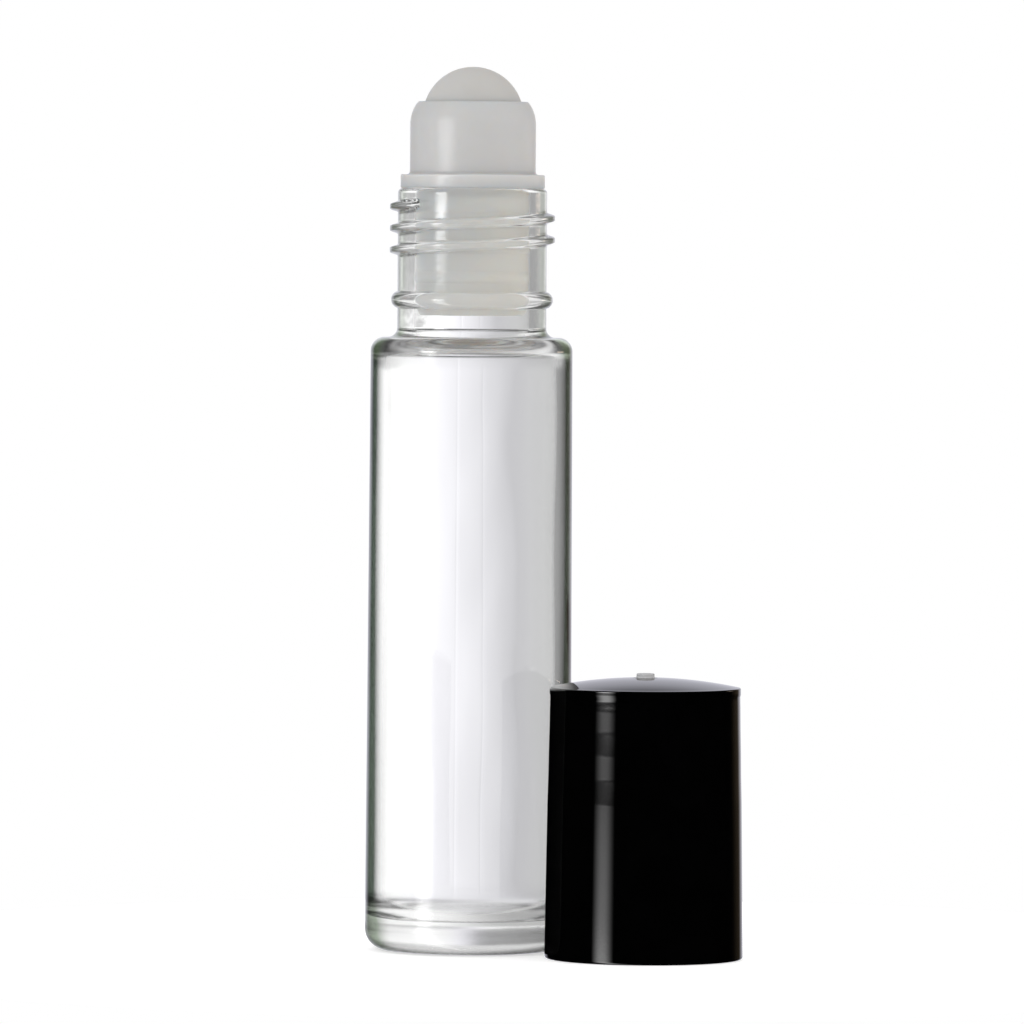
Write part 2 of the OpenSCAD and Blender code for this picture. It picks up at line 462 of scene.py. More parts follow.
def seamAngles():
    # even steps round the bottle, finer across the two parting lines
    g = glass
    angles = {round(360 * i / g["columns"], 4) for i in range(g["columns"])}
    steps = int(g["seamReach"] / g["seamStep"])
    for seam in (g["seamAngle"], g["seamAngle"] - 180):
        angles = {a for a in angles if abs(a - seam) > g["seamReach"]}
        angles |= {round(seam + g["seamStep"] * i, 4) for i in range(-steps, steps + 1)}
    return np.radians(sorted(angles))


def shiftGlass(r, z, angles):
    g = glass
    inWall = g["floorT"] + g["floorCornerR"] < z < g["shoulderZ"] - g["ceilingT"] - g["innerCornerR"]
    if inWall and r < bodyR - g["wall"] + g["skinGap"]:
        # blown glass is a little uneven inside; the waves die out towards the corners
        low, high = g["waveZ"]
        edge = min(1.0, (z - low) / g["waveFade"], (high - z) / g["waveFade"])
        return g["waveOut"] * edge * sum(share * np.sin(count * angles + turn * z + start)
                                         for count, turn, start, share in g["waves"])
    moved = np.zeros(len(angles))
    if r > g["neckR"] - g["neckGap"] and z > g["heelR"]:
        for seam in (g["seamAngle"], g["seamAngle"] - 180):
            off = (np.degrees(angles) - seam + 180) % 360 - 180
            fade = min(1, (z - g["heelR"]) / g["seamFade"])
            moved += g["seamOut"] * np.exp(-(off / g["seamHalf"]) ** 2) * fade
        if g["shoulderZ"] + neckThread["lowest"] < z < rimZ - neckThread["highest"]:
            moved += helixRidge(neckThread, angles, z)
    return moved


def turnedAway(tree):
    # how far the wall turns away to the side, the same from any height: 0 face on, 1 edge on
    place = addNode(tree, "ShaderNodeTexCoord")
    cosines = []
    for mask, fixed in (((1, 1, 0), (0, 0, 0)), ((0, 0, 0), (0, 0, 1))):
        flat = addNode(tree, "ShaderNodeVectorMath", operation="MULTIPLY_ADD")
        flat.inputs[1].default_value = mask
        flat.inputs[2].default_value = fixed
        unit = addNode(tree, "ShaderNodeVectorMath", operation="NORMALIZE")
        turn = addNode(tree, "ShaderNodeVectorTransform", vector_type="NORMAL", convert_from="OBJECT",
                       convert_to="WORLD")
        facing = addNode(tree, "ShaderNodeLayerWeight", Blend=0.5)
        tree.links.new(place.outputs["Object"], flat.inputs[0])
        tree.links.new(flat.outputs["Vector"], unit.inputs[0])
        tree.links.new(unit.outputs["Vector"], turn.inputs["Vector"])
        tree.links.new(turn.outputs["Vector"], facing.inputs["Normal"])
        cosines.append(oneLess(tree, facing.outputs["Facing"]))
    outward, upward = cosines
    level = maths(tree, "SQRT", oneLess(tree, product(tree, upward, upward)))
    return oneLess(tree, maths(tree, "DIVIDE", outward, largest(tree, level, glass["levelLeast"])))


def outsideGlass():
    # clear face on; where the wall turns away its colour is painted dark green-grey, painted shade for the
    # dark surroundings that the edges show, over the glass's own faint green
    g = glass
    material, tree, shader = newMaterial("clearGlass")
    z = heightIn(tree)
    facing = addNode(tree, "ShaderNodeLayerWeight", Blend=0.5)
    edge = maths(tree, "MINIMUM", facing.outputs["Facing"], turnedAway(tree))
    edge = maths(tree, "ADD", edge, between(tree, z, g["lowerEdgeZ"], g["lowerEdge"], 0))
    edge = maths(tree, "ADD", edge, between(tree, z, g["footEdgeZ"], g["footEdge"], 0))
    edge = ranged(tree, edge, g["edgeFrom"], g["edgeTo"], 0, 1)
    # the painted edge shade counts once, where a ray first meets the glass, and not in the cap's gloss
    path = addNode(tree, "ShaderNodeLightPath")
    first = maths(tree, "LESS_THAN", path.outputs["Transmission Depth"], 0.5)
    mirrored = product(tree, first, path.outputs["Is Reflection Ray"])
    edge = product(tree, edge, maths(tree, "SUBTRACT", first, mirrored))
    thick = maths(tree, "ADD", between(tree, z, g["footZ"], 1, 0),
                  between(tree, z, g["shoulderFromZ"], 0, 1))
    thickPaintedShade = mixColour(tree, between(tree, z, g["shadeChangeZ"], 0, 1), g["footPaintedShade"], g["shoulderPaintedShade"])
    paintedShadeShare = product(tree, edge, between(tree, z, g["neckEdgeZ"], 1, g["neckEdge"]))
    colour = mixColour(tree, paintedShadeShare, g["clear"], mixColour(tree, thick, g["paintedEdgeShade"], thickPaintedShade))
    # painted dark reflection: in the cap's gloss the bottle is painted black, so the cap shows hardly
    # anything of it
    hidden = product(tree, mirrored, between(tree, z, g["mirroredZ"], 1, 0))
    tree.links.new(mixColour(tree, hidden, colour, g["mirrored"]), shader.inputs["Base Color"])
    # the shoulder's thick corner, the thread and the bead are a little milky
    out = [g["neckR"] + o for o in g["ridgeOut"]]
    ridge = product(tree, between(tree, radiusIn(tree), out, 0, g["ridgeMilk"]),
                    between(tree, z, g["ridgeZ"], 0, 1))
    milky = largest(tree, product(tree, edge, between(tree, z, g["milkZ"], 0, g["milk"])), ridge)
    tree.links.new(oneLess(tree, milky), shader.inputs["Transmission Weight"])
    haze = ranged(tree, noise(tree, **g["haze"]), *g["hazeRange"])
    rough = largest(tree, haze, between(tree, z, g["footBlurZ"], g["footBlur"], 0),
                    between(tree, z, g["neckBlurZ"], 0, g["neckBlur"]),
                    product(tree, mirrored, g["mirroredBlur"]), hidden)
    tree.links.new(rough, shader.inputs["Roughness"])
    swell = bumped(tree, shader, noise(tree, **g["swell"]), g["swellDepth"] * mm)
    ripple = product(tree, noise(tree, **g["ripple"]), between(tree, z, g["rippleZ"], g["rippleBody"], 1))
    bumped(tree, shader, ripple, g["rippleDepth"] * mm, swell)
    shader.inputs["IOR"].default_value = g["ior"]
    return material


def insideGlass():
    # clear, a little wavier
    g = glass
    material, tree, shader = newMaterial("clearGlassInside")
    z = heightIn(tree)
    haze = ranged(tree, noise(tree, **g["insideHaze"]), *g["insideHazeRange"])
    top = product(tree, between(tree, z, g["ceilingBlurZ"], 0, g["cornerBlur"]),
                  between(tree, z, g["boreBlurZ"], 1, 0))
    rough = largest(tree, haze, between(tree, z, g["floorBlurZ"], g["cornerBlur"], 0), top)
    tree.links.new(rough, shader.inputs["Roughness"])
    bumped(tree, shader, noise(tree, **g["insideSwell"]), g["insideSwellDepth"] * mm)
    shader.inputs["Base Color"].default_value = (*g["clear"], 1)
    shader.inputs["Transmission Weight"].default_value = 1
    shader.inputs["IOR"].default_value = g["ior"]
    return material


def makeGlass():
    g = glass
    outer = dense(glassOuter(), g["rowStep"])
    run = np.arange(ridgeLow(neckThread), rimZ - g["rimOutR"], g["threadRow"])
    outer = [p for p in outer if not (abs(p[0] - g["neckR"]) < tiny and run[0] <= p[1] <= run[-1])]
    split = [i for i, p in enumerate(outer) if p[1] >= run[-1]][0]
    outer[split:split] = [(g["neckR"], float(z)) for z in run]
    inner = dense(glassInner(), g["rowStep"])
    piece = turnOutline("glassBottle", outer + inner, seamAngles(), shift=shiftGlass, insideFrom=len(outer))
    piece.data.materials.append(outsideGlass())
    piece.data.materials.append(insideGlass())
    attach(piece, "bottle")
    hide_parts("glass_bottle")
    print("glass bottle made:", len(piece.data.polygons), "faces")


# Ball housing, one frosted moulding: socket, flange and plug; lengths in mm

housing = {
    "ballGap": 0.05,
    "lipW": 0.6,
    "lipEdgeR": 0.12,
    "lipEase": 0.05,        # flat between the crown and the lip
    "socketWall": 1.1,
    "crownR": 3.6,
    "crownStop": 4,         # degrees before its arc would reach the lip
    "flangeT": 1.3,
    "flangeEdgeR": 0.15,
    "filletR": 0.3,
    "boreR": 5.5,
    "sealGap": 0.03,
    "sealOut": 0.14,
    "sealH": 1.1,
    "sealCount": 3,
    "sealLead": 0.8,
    "plugWall": 1,
    "plugEdge": 0.1,
    "feedR": 2.5,
    "feedEdge": 0.15,
    "webT": 0.7,
    "webEdge": 0.2,
    "rowStep": 1.0,
    "columnStep": 1.875,    # degrees
    "colour": (0.72, 0.716, 0.712),
    "roughness": (0.3, 0.42),
    "grain": 0.0012,
    "through": 0.15,        # the share of light that goes straight through
}
# what the two frosted plastics share; depths in mm
frost = {
    "dark": 0.965,          # the cloudier places, as a share of the colour
    "cloud": {"scale": 180, "detail": 3, "rough": 0.55},
    "cloudRange": (0.3, 0.7),
    "satin": {"scale": 1500, "detail": 4, "rough": 0.6},
    "satinRange": (0.25, 0.75),
    "swell": {"scale": 260, "detail": 2},
    "swellDepth": 0.01,
    "grain": {"scale": 9000, "detail": 3, "rough": 0.65},
    "scatter": (1.0, 0.82, 0.66),
    "scatterDepth": 2,
    "ior": 1.5,
}


def housingOutline():
    h = housing
    seatR = ballR + h["ballGap"]
    openR = sqrt(seatR ** 2 - (lipZ - ballZ) ** 2)
    lipR = openR + h["lipW"]
    socketR = seatR + h["socketWall"]
    crownX = socketR - h["crownR"]
    crownDrop = sqrt(h["crownR"] ** 2 - (lipR - crownX) ** 2)
    crownAngle = degrees(asin(crownDrop / h["crownR"]))
    plugR = h["boreR"] - h["sealGap"] - h["sealOut"]
    boreR = plugR - h["plugWall"]
    flangeZ = rimZ + h["flangeT"]
    webZ = rimZ + h["webT"]
    edge = h["flangeEdgeR"]
    fillet = h["filletR"]
    step = (rimZ - plugZ - h["sealLead"]) / (h["sealCount"] + 1)
    seals = []
    for i in range(1, h["sealCount"] + 1):
        seals += bump(plugR, plugZ + h["sealLead"] + i * step, h["sealH"], h["sealOut"])
    lipAngle = degrees(asin((lipZ - ballZ - h["lipEdgeR"]) / seatR))
    feedAngle = -degrees(acos(h["feedR"] / seatR))
    lipIn = seatR * cos(radians(lipAngle)) + h["lipEdgeR"]
    return ([(boreR, plugZ + h["plugEdge"]), (boreR + h["plugEdge"], plugZ)]
            + [(plugR - h["sealLead"] / 2, plugZ), (plugR, plugZ + h["sealLead"])]
            + seals
            + [(plugR, rimZ)]
            + arc(flangeR - edge, rimZ + edge, edge, -90, 0, 6)
            + arc(flangeR - edge, flangeZ - edge, edge, 0, 90, 6)
            + arc(socketR + fillet, flangeZ + fillet, fillet, 270, 180, 6)
            + arc(crownX, lipZ - crownDrop, h["crownR"], 0, crownAngle - h["crownStop"], 16)
            + [(lipR - h["lipEase"], lipZ), (lipIn, lipZ)]
            + arc(0, ballZ, seatR, lipAngle, feedAngle, 28)
            + [(h["feedR"], webZ + h["feedEdge"]), (h["feedR"] + h["feedEdge"], webZ)]
            + [(boreR - h["webEdge"], webZ), (boreR, webZ - h["webEdge"])])


def frostedPlastic(name, finish):
    f = frost
    material, tree, shader = newMaterial(name)
    tone = ranged(tree, noise(tree, **f["cloud"]), *f["cloudRange"], 0, 1)
    dark = tuple(c * f["dark"] for c in finish["colour"])
    tree.links.new(mixColour(tree, tone, dark, finish["colour"]), shader.inputs["Base Color"])
    rough = ranged(tree, noise(tree, **f["satin"]), *f["satinRange"], *finish["roughness"])
    tree.links.new(rough, shader.inputs["Roughness"])
    swell = bumped(tree, shader, noise(tree, **f["swell"]), f["swellDepth"] * mm)
    bumped(tree, shader, noise(tree, **f["grain"]), finish["grain"] * mm, swell)
    shader.inputs["IOR"].default_value = f["ior"]
    shader.inputs["Subsurface Weight"].default_value = 1
    shader.inputs["Subsurface Radius"].default_value = f["scatter"]
    shader.inputs["Subsurface Scale"].default_value = f["scatterDepth"] * mm
    shader.inputs["Transmission Weight"].default_value = finish["through"]
    return material


def makeHousing():
    outline = dense(housingOutline(), housing["rowStep"])
    piece = turnOutline("ballHousing", outline, evenAngles(housing["columnStep"]), closed=True)
    piece.data.materials.append(frostedPlastic("frostedHousing", housing))
    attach(piece, "housing")
    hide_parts("roller_housing")
    print("ball housing made:", len(piece.data.polygons), "faces")


# Ball

ball = {
    "partingOut": 0.012,    # the faint line where the mould halves met, mm
    "partingHalf": 1.2,     # degrees
    "partingReach": 4,
    "partingStep": 0.4,     # between the rows that draw it
    "step": 2.5,            # and elsewhere, degrees
    "colour": (0.6, 0.594, 0.58),
    "roughness": (0.42, 0.55),
    "grain": 0.0018,
    "through": 0.0,
}


def makeBall():
    b = ball
    fine = np.arange(-b["partingReach"], b["partingReach"] + tiny, b["partingStep"])
    rows = sorted(set(np.arange(-90, 90 + tiny, b["step"])) | set(fine))
    outline = []
    for a in rows:
        r = ballR - b["partingOut"] + b["partingOut"] * np.exp(-(a / b["partingHalf"]) ** 2)
        outline.append((max(0.0, r * cos(radians(a))), ballZ + r * sin(radians(a))))
    outline[0] = (0, outline[0][1])
    outline[-1] = (0, outline[-1][1])
    piece = turnOutline("rollerBall", outline, evenAngles(b["step"]))
    piece.data.materials.append(frostedPlastic("frostedBall", ball))
    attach(piece, "ball")
    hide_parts("roller_ball")
    print("roller ball made:", len(piece.data.polygons), "faces")


# Screw cap, polished black; lengths in mm

screwCap = {
    "draft": 0.35,
    "wall": 1.25,
    "topT": 0.9,
    "domeH": 0.9,
    "edgeR": 0.14,
    "edgeTurn": 78,         # degrees of the top edge's arc
    "mouthEdgeR": 0.22,
    "mouthBevel": 0.15,     # inside the mouth
    "nubR": 0.85,
    "nubH": 0.4,
    "nubEdgeR": 0.12,
    "nubDip": 0.06,
    "sleeveR": 6.2,
    "sleeveT": 0.8,
    "sleeveZ": 15.25,
    "sleeveEdgeR": 0.15,
    "innerBevel": 0.2,
    "rowStep": 0.22,
    "innerRowStep": 1.2,
    "threadRow": 0.06,
    "columnStep": 1.5,      # degrees
    # the wall's slight steps, which break the long highlight: from height, to height, sunk by
    "steps": ((14.7, 17.2, 0.031), (19.3, 21.6, 0.0222), (23.5, 24.3, 0.0072)),
    "stepsIn": 0.5,         # they reach points this far outside the inner wall
    "stepsDown": 2,         # and this far below the top
    "colour": (0.0006, 0.0006, 0.0007),
    "dark": 0.7,
    "cloud": {"scale": 400, "detail": 3},
    "cloudRange": (0.35, 0.65),
    "paleNubColour": (0.6, 0.6, 0.61),     # the nub painted pale grey, a painted reflection of the bright background
    "paleNubDown": (0.42, 0.405),          # below the top
    "paleNubRough": 0.5,
    "haze": {"scale": 220, "detail": 4, "rough": 0.6, "stretch": (1, 1, 0.25)},
    "hazeRange": (0.35, 0.75, 0.03, 0.045),
    "swell": {"scale": 160, "detail": 2, "stretch": (1, 1, 0.4)},
    "swellDepth": 0.003,
    "grain": {"scale": 5200, "detail": 3, "rough": 0.6},
    "grainDepth": 0.0004,
    "ior": 1.49,
}
capThread = {
    "pitch": 2.05,
    "turns": 1.5,
    "out": 0.76,
    "rootHalf": 0.52,
    "crestHalf": 0.12,
    "fade": 40,
    "endAngle": 180,
    "endZ": 11.275,
    "spare": 0.4,           # turns of room below its lower end
    "above": 0.8,           # room above its upper end
    "rowsAbove": 0.7,
    "near": 0.35,           # how close to the mouth's radius a point of the inner wall is
}


def capOutlines():
    # the outside, and the inside from the centre of the ceiling down to the mouth
    c = screwCap
    topZ = capTall - c["nubH"]
    sideZ = topZ - c["domeH"]
    topR = capR - c["draft"]
    edgeX = topR - c["edgeR"]
    ceilingZ = topZ - c["topT"]
    rise = c["domeH"] * (c["sleeveR"] / edgeX) ** 2
    shellZ = sideZ - c["topT"]
    sleeveOut = c["sleeveR"] + c["sleeveT"]
    sleeveEdge = c["sleeveEdgeR"]
    bevel = c["innerBevel"]
    inR = capR - c["wall"]
    outer = (arc(capR - c["mouthEdgeR"], c["mouthEdgeR"], c["mouthEdgeR"], -90, 0, 8)
             + arc(edgeX, sideZ - c["edgeR"], c["edgeR"], 0, c["edgeTurn"], 8)
             + dome(edgeX, sideZ, c["domeH"], c["nubR"])
             + arc(c["nubR"] - c["nubEdgeR"], capTall - c["nubEdgeR"], c["nubEdgeR"], 0, 90, 5)
             + [(0, capTall - c["nubDip"])])
    inner = (dome(c["sleeveR"] - bevel, ceilingZ - rise, rise)[::-1]
             + [(c["sleeveR"], ceilingZ - rise - bevel)]
             + arc(c["sleeveR"] + sleeveEdge, c["sleeveZ"] + sleeveEdge, sleeveEdge, 180, 270, 4)
             + arc(sleeveOut - sleeveEdge, c["sleeveZ"] + sleeveEdge, sleeveEdge, -90, 0, 4)
             + [(sleeveOut, shellZ - bevel), (sleeveOut + bevel, shellZ)]
             + [(topR - c["wall"] - bevel, shellZ), (topR - c["wall"], shellZ - bevel)]
             + [(inR, c["mouthBevel"]), (inR + c["mouthBevel"], 0)])
    return outer, inner


def shiftCap(r, z, angles):
    c = screwCap
    t = capThread
    inR = capR - c["wall"]
    if r > inR + c["stepsIn"] and z < capTall - c["stepsDown"]:
        sunk = sum(depth * min(1, max(0, (z - low) / (high - low))) for low, high, depth in c["steps"])
        return np.full(len(angles), -sunk)
    if abs(r - inR) > t["near"] or not ridgeLow(t) < z < t["endZ"] + t["above"]:
        return np.zeros(len(angles))
    return -helixRidge(t, angles, z)


def polishedBlack():
    c = screwCap
    material, tree, shader = newMaterial("polishedBlack")
    tone = ranged(tree, noise(tree, **c["cloud"]), *c["cloudRange"], 0, 1)
    dark = tuple(v * c["dark"] for v in c["colour"])
    colour = mixColour(tree, tone, dark, c["colour"])
    # painted reflection: the nub on top is coloured pale grey for the bright background it mirrors, and its
    # gloss is rougher
    paleNub = between(tree, heightIn(tree), [capTall - down for down in c["paleNubDown"]], 0, 1)
    tree.links.new(mixColour(tree, paleNub, colour, c["paleNubColour"]), shader.inputs["Base Color"])
    # polish, with faint rubbed haze along the height
    rough = ranged(tree, noise(tree, **c["haze"]), *c["hazeRange"])
    rough = maths(tree, "ADD", rough, product(tree, paleNub, c["paleNubRough"]))
    tree.links.new(rough, shader.inputs["Roughness"])
    swell = bumped(tree, shader, noise(tree, **c["swell"]), c["swellDepth"] * mm)
    bumped(tree, shader, noise(tree, **c["grain"]), c["grainDepth"] * mm, swell)
    shader.inputs["IOR"].default_value = c["ior"]
    return material


def makeCap():
    c = screwCap
    outer, inner = capOutlines()
    outerRows = dense(outer, c["rowStep"])
    innerRows = dense(inner, c["innerRowStep"])
    # finer rows where the inside thread runs, on a wall that draws in a little towards the top
    inR = capR - c["wall"]
    low = ridgeLow(capThread)
    high = capThread["endZ"] + capThread["rowsAbove"]
    wallTop = [p for p in inner if p[0] > inR - c["draft"] - tiny][0]
    slope = (inR - wallTop[0]) / (wallTop[1] - c["mouthBevel"])
    heights = np.arange(high, low, -c["threadRow"])
    fine = [(inR - slope * (z - c["mouthBevel"]), float(z)) for z in heights]
    sleeveOut = c["sleeveR"] + c["sleeveT"]
    wall = [i for i, p in enumerate(innerRows) if low <= p[1] <= high and p[0] > sleeveOut]
    innerRows[wall[0]:wall[-1] + 1] = fine
    piece = turnOutline("screwCap", outerRows + innerRows, evenAngles(c["columnStep"]), centre=(capX, capY),
                        shift=shiftCap, closed=True)
    piece.data.materials.append(polishedBlack())
    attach(piece, "screw_cap")
    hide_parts("cap")
    print("screw cap made:", len(piece.data.polygons), "faces")


# Table; lengths in mm

table = {
    "radius": 75,           # past it the background is the same white
    "rings": (0.25, 0.5, 0.75, 1),
    "sides": 96,
    "drop": 0.05,           # below the faces that stand on it
    "colour": (0.8, 0.8, 0.8),
    "roughness": 0.9,
    "specular": 0.1,
    "seen": 0.62,           # lifts it to the white of the background
    # what the foot's glass shows of it, at its left and its right
    "left": 1.1,
    "right": 0.46,
    "sweepX": (-6, 6),
    "turnY": (16, 22),      # the glass turns the picture over farther back
    "centreY": 22,
    "fade": (34, 44),       # from the centre
    "solidDepth": 3,        # most surfaces that a ray passes in the solid foot
}


def tableDisc():
    count = table["sides"]
    middle = (capX / 2 * mm, capY / 2 * mm)
    verts = [(*middle, 0)]
    for share in table["rings"]:
        r = table["radius"] * mm * share
        verts += [(middle[0] + r * cos(2 * pi * i / count), middle[1] + r * sin(2 * pi * i / count), 0)
                  for i in range(count)]
    faces = [(0, 1 + i, 1 + (i + 1) % count) for i in range(count)]
    for ring in range(len(table["rings"]) - 1):
        a = 1 + ring * count
        b = a + count
        faces += [(a + i, b + i, b + (i + 1) % count, a + (i + 1) % count) for i in range(count)]
    mesh = bpy.data.meshes.new("table")
    mesh.from_pydata(verts, [], faces)
    return mesh


def paleTable():
    t = table
    material, tree, shader = newMaterial("paleTable")
    shader.inputs["Base Color"].default_value = (*t["colour"], 1)
    shader.inputs["Roughness"].default_value = t["roughness"]
    shader.inputs["Specular IOR Level"].default_value = t["specular"]
    shader.inputs["Emission Color"].default_value = (1, 1, 1, 1)
    path = addNode(tree, "ShaderNodeLightPath")
    lift = product(tree, path.outputs["Is Camera Ray"], t["seen"])
    tree.links.new(lift, shader.inputs["Emission Strength"])
    # through the solid foot it is a sweep of grey to white
    place = addNode(tree, "ShaderNodeTexCoord")
    split = addNode(tree, "ShaderNodeSeparateXYZ")
    tree.links.new(place.outputs["Object"], split.inputs["Vector"])
    across = product(tree, split.outputs["X"], between(tree, split.outputs["Y"], t["turnY"], 1, -1))
    glow = addNode(tree, "ShaderNodeEmission")
    glow.inputs["Color"].default_value = (1, 1, 1, 1)
    tree.links.new(between(tree, across, t["sweepX"], t["left"], t["right"]), glow.inputs["Strength"])
    # farther off and through the inside it gives way to the backdrop, and the black cap shows none of it
    away = addNode(tree, "ShaderNodeVectorMath", operation="DISTANCE")
    away.inputs[1].default_value = (0, t["centreY"] * mm, 0)
    tree.links.new(place.outputs["Object"], away.inputs[0])
    far = largest(tree, between(tree, away.outputs["Value"], t["fade"], 0, 1),
                  maths(tree, "GREATER_THAN", path.outputs["Transmission Depth"], t["solidDepth"]))
    clear = addNode(tree, "ShaderNodeBsdfTransparent").outputs["BSDF"]
    refracted = mixShader(tree, far, glow.outputs["Emission"], clear)
    surface = mixShader(tree, path.outputs["Is Transmission Ray"], shader.outputs["BSDF"], refracted)
    surface = mixShader(tree, path.outputs["Is Reflection Ray"], surface, clear)
    tree.links.new(surface, tree.nodes["Material Output"].inputs["Surface"])
    return material


def makeTable():
    item = bpy.data.objects.new("table", tableDisc())
    item.location = (0, 0, -table["drop"] * mm)
    bpy.context.collection.objects.link(item)
    item.data.materials.append(paleTable())


# Light and background; a height here is that of a ray's direction, -1 straight down, 1 straight up

studio = {
    "ambient": 0.86,
    "innerCool": (1.32, 1.4, 1.47),     # light on what stands inside the glass, from -X
    "innerWarm": (1.78, 1.71, 1.55),    # and from +X
    # the lit backdrop as the glass shows it: azimuth from +Y towards +X in degrees, share and tint there
    "backdrop": (
        (-180, 1.0, 0), (-90, 1.0, 0), (-60, 1.1, 0), (-12, 1.1, 0), (-6, 1.03, 0.3), (-3, 0.985, 1),
        (-1.25, 0.875, 1), (-0.2, 0.81, 1), (1, 0.725, 1), (2.1, 0.665, 1), (2.7, 0.613, 1),
        (3.4, 0.565, 1), (4.1, 0.516, 1), (4.8, 0.503, 1), (6.5, 0.526, 0.7), (10.3, 0.5, 0.4),
        (13.5, 0.5, 0.3), (20, 0.46, 0.2), (26, 0.42, 0), (36, 0.36, 0), (60, 0.36, 0), (95, 1.0, 0),
        (180, 1.0, 0)),
    "lavender": (0.96, 0.95, 1.0),
    "backWhite": 1.1,
    "overhead": 0.75,       # its share straight up and down
    "overheadZ": (0.3, 0.85),
    "horizonZ": (0.008, 0.02),
    "above": 0.9,           # how much of it is left above the horizon
    "aboveFlag": 0.3,       # how much darker the grey flag is there
    "aboveFlagTurn": (1, 9),
    "leftDim": 0.55,        # how much darker the backdrop's left edge is, low down, as the neck shows it
    "leftDimTurn": (-66, -56, -18, -8),
    "leftDimZ": (-0.0135, -0.011, 0.02, 0.04),
    "noFlagTurn": (14, 24),     # the flag ends here below the horizon
    "noFlagZ": (-0.16, -0.1),
    "flagTopZ": (0.4, 0.6),
    "solidDepth": 3,        # fewer surfaces than this, and a ray has passed solid glass only
    # what gloss shows: the backdrop behind, the lights, and a dark studio
    "gloomy": 0.001,
    "window": 0.85,
    "windowY": (0.84, 0.965),
    "windowTint": (0.9, 0.9, 1.0),
    # the lights' azimuth edges, and their elevation stops with radiance
    "softbox": {"edges": (-144.5, -131.5, -128.5, -115.5), "colour": (1.0, 1.0, 1.0),
                "levels": ((-10, 6), (-2.93, 6), (-2.87, 4.3), (-2.8, 2.8), (-2.2, 2.5), (-2.1, 1.8),
                           (-1.5, 1.75), (-1.44, 1.3), (-1.37, 2.4), (-1.2, 2.4), (-1.0, 0.42),
                           (-0.35, 0.42), (0.15, 17), (9, 17), (11, 2), (40, 1.5), (60, 0))},
    "warmEdge": {"edges": (8, 20, 34, 58), "colour": (1.0, 0.76, 0.5),
                 "levels": ((-10, 0.02), (-4.4, 0.05), (-2.5, 0.1), (20, 0.1), (30, 0))},
    "kicker": {"edges": (46, 54, 60, 68), "colour": (1.0, 0.8, 0.65),
               "levels": ((-0.1, 0), (0.3, 4), (2.5, 4), (4, 0))},
}
# turn is the azimuth from the camera's side towards +X in degrees, low and high are heights in mm
lamps = {
    "keyLamp": {"turn": -50, "distance": 520, "width": 160, "low": 0, "high": 520, "radiance": 1.6,
                "colour": (1.0, 0.99, 0.98)},
    "coolFill": {"turn": -100, "distance": 520, "width": 300, "low": -100, "high": 420,
                 "radiance": 0.18, "colour": (0.7, 0.8, 1.0)},
    "warmFill": {"turn": 65, "distance": 520, "width": 260, "low": -100, "high": 420,
                 "radiance": 0.62, "colour": (1.0, 0.86, 0.74)},
}


def asColour(tree, value):
    node = addNode(tree, "ShaderNodeCombineXYZ")
    for socket in node.inputs:
        tree.links.new(value, socket)
    return node.outputs["Vector"]


def rampOf(tree, value, stops):
    # stops are pairs of a place from 0 to 1 and a colour
    node = addNode(tree, "ShaderNodeValToRGB")
    marks = node.color_ramp.elements
    while len(marks) < len(stops):
        marks.new(0.5)
    for mark, (place, colour) in zip(marks, stops):
        mark.position = place
        mark.color = (*colour, 1)
    tree.links.new(value, node.inputs["Fac"])
    return node.outputs["Color"]


def turnRange(tree, turn, edges):
    # 0 to 1 between the first two azimuths and back to 0 between the last two, in degrees
    a, b, c, d = (radians(edge) for edge in edges)
    return ranged(tree, turn, a, b, 0, 1), ranged(tree, turn, c, d, 1, 0)


def glossLight(tree, turn, z, light):
    # a light that only gloss shows: soft edged in azimuth, stepped in elevation
    share = product(tree, *turnRange(tree, turn, light["edges"]))
    heights = [sin(radians(angle)) for angle, level in light["levels"]]
    low, high = min(heights), max(heights)
    most = max(level for angle, level in light["levels"])
    stops = []
    for height, (angle, level) in zip(heights, light["levels"]):
        stops.append(((height - low) / (high - low), [level / most * c for c in light["colour"]]))
    up = addNode(tree, "ShaderNodeMapRange")
    up.inputs["From Min"].default_value = low
    up.inputs["From Max"].default_value = high
    tree.links.new(z, up.inputs["Value"])
    colour = rampOf(tree, up.outputs["Result"], stops)
    return mixColour(tree, 1.0, colour, asColour(tree, product(tree, share, most)), "MULTIPLY")


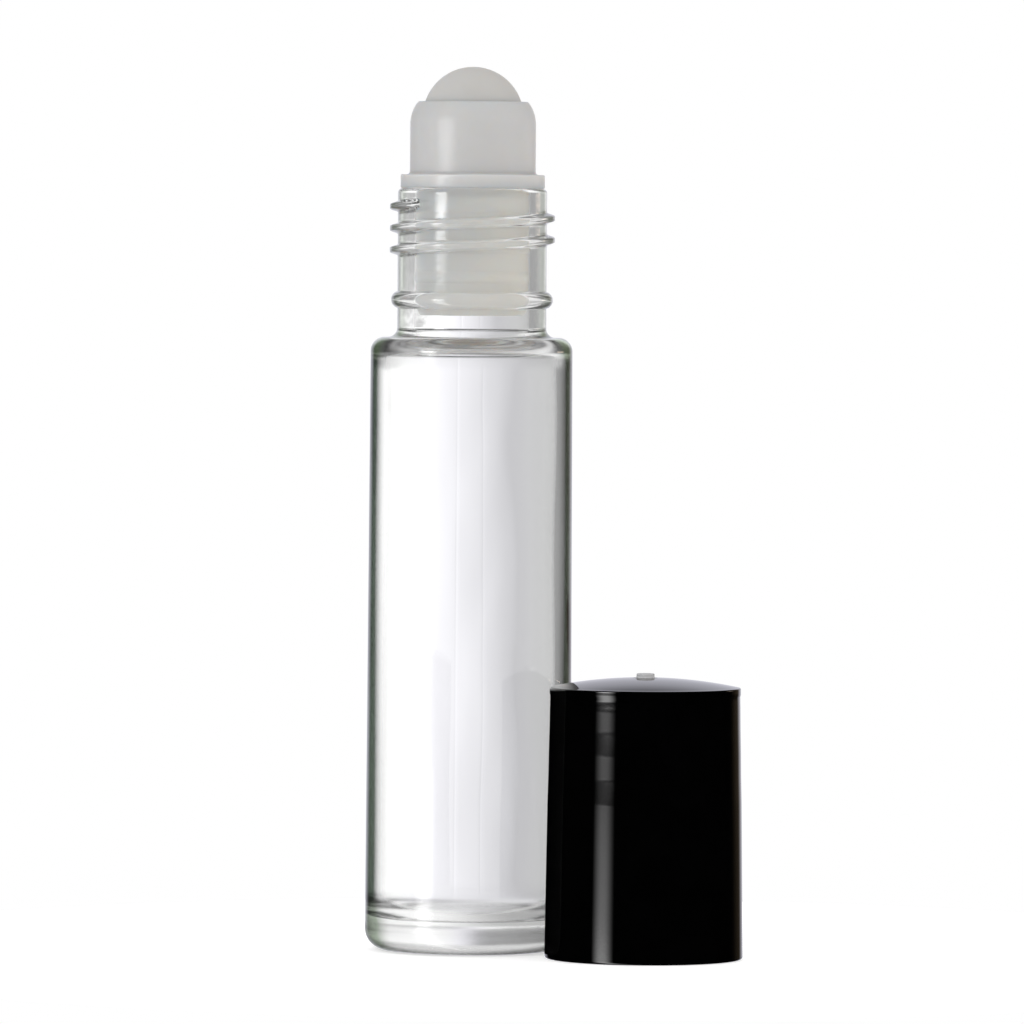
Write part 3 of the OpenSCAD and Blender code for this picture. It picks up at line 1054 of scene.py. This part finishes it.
def seenThroughGlass(tree, path, turn, x, z):
    # a lit backdrop with a grey flag at its right, dimmer overhead and underneath
    s = studio
    # the solid foot turns the picture over, so there the grey flag changes side above the horizon
    solid = maths(tree, "LESS_THAN", path.outputs["Transmission Depth"], s["solidDepth"])
    side = oneLess(tree, product(tree, ranged(tree, z, *s["horizonZ"], 0, 2), solid))
    across = maths(tree, "DIVIDE", product(tree, turn, side), 2 * pi)
    stops = []
    for angle, share, tint in s["backdrop"]:
        stops.append((angle / 360 + 0.5, [share * (1 + (c - 1) * tint) for c in s["lavender"]]))
    backdrop = rampOf(tree, maths(tree, "ADD", across, 0.5), stops)
    below = product(tree, ranged(tree, z, *s["noFlagZ"], 1, 0),
                    ranged(tree, turn, *[radians(a) for a in s["noFlagTurn"]], 0, 1))
    unflagged = maths(tree, "ADD", below, ranged(tree, z, *s["flagTopZ"], 0, 1))
    backdrop = mixColour(tree, unflagged, backdrop, (1, 1, 1))
    # how bright it is
    height = maths(tree, "ABSOLUTE", z)
    band = ranged(tree, height, *s["overheadZ"], s["backWhite"], s["backWhite"] * s["overhead"])
    above = ranged(tree, z, *s["horizonZ"], 1, s["above"])
    lowZ = s["leftDimZ"]
    dim = product(tree, *turnRange(tree, turn, s["leftDimTurn"]), s["leftDim"],
                  ranged(tree, z, *lowZ[:2], 0, 1), ranged(tree, z, *lowZ[2:], 1, 0))
    flagged = product(tree, ranged(tree, z, *s["horizonZ"], 0, s["aboveFlag"]),
                      ranged(tree, across, *[a / 360 for a in s["aboveFlagTurn"]], 0, 1))
    band = product(tree, band, above, oneLess(tree, dim), oneLess(tree, flagged))
    through = mixColour(tree, 1.0, backdrop, asColour(tree, band), "MULTIPLY")
    # what stands inside the glass gets its own light
    inner = mixColour(tree, ranged(tree, x, -1, 1, 0, 1), s["innerCool"], s["innerWarm"])
    fromInside = maths(tree, "GREATER_THAN", path.outputs["Diffuse Depth"], 0.5)
    return mixColour(tree, fromInside, through, inner)


def seenInGloss(tree, turn, y, z):
    s = studio
    window = ranged(tree, y, *s["windowY"], s["gloomy"], s["window"])
    shine = mixColour(tree, 1.0, asColour(tree, window), s["windowTint"], "MULTIPLY")
    for light in ("softbox", "warmEdge", "kicker"):
        shine = mixColour(tree, 1.0, shine, glossLight(tree, turn, z, s[light]), "ADD")
    return shine


def makeWorld():
    world = bpy.data.worlds.new("studio")
    bpy.context.scene.world = world
    world.use_nodes = True
    tree = world.node_tree
    path = addNode(tree, "ShaderNodeLightPath")
    place = addNode(tree, "ShaderNodeTexCoord")
    split = addNode(tree, "ShaderNodeSeparateXYZ")
    tree.links.new(place.outputs["Generated"], split.inputs["Vector"])
    x, y, z = split.outputs
    turn = maths(tree, "ARCTAN2", x, y)
    through = seenThroughGlass(tree, path, turn, x, z)
    shine = seenInGloss(tree, turn, y, z)
    colour = mixColour(tree, path.outputs["Is Glossy Ray"], (studio["ambient"],) * 3, shine)
    # a ray through glass counts as glossy too, so it comes after
    colour = mixColour(tree, path.outputs["Is Transmission Ray"], colour, through)
    colour = mixColour(tree, path.outputs["Is Camera Ray"], colour, (1, 1, 1))
    tree.links.new(colour, tree.nodes["Background"].inputs["Color"])
    world.cycles.sampling_method = "NONE"


def makeLamp(name, lamp):
    data = bpy.data.lights.new(name, "AREA")
    data.shape = "RECTANGLE"
    data.size = lamp["width"] * mm
    data.size_y = (lamp["high"] - lamp["low"]) * mm
    data.color = lamp["colour"]
    data.energy = lamp["radiance"] * pi * data.size * data.size_y
    item = bpy.data.objects.new(name, data)
    turn = radians(lamp["turn"])
    middle = (lamp["high"] + lamp["low"]) / 2
    item.location = (lamp["distance"] * sin(turn) * mm, -lamp["distance"] * cos(turn) * mm, middle * mm)
    item.rotation_euler = (pi / 2, 0, turn)
    # gloss and glass see the world's own lights instead
    item.visible_camera = False
    item.visible_transmission = False
    item.visible_glossy = False
    bpy.context.collection.objects.link(item)


makeCamera()
makeGlass()
makeHousing()
makeBall()
makeCap()
makeTable()
makeWorld()
for lampName, lamp in lamps.items():
    makeLamp(lampName, lamp)
bpy.context.scene.view_settings.view_transform = "Standard"
print("studio made")
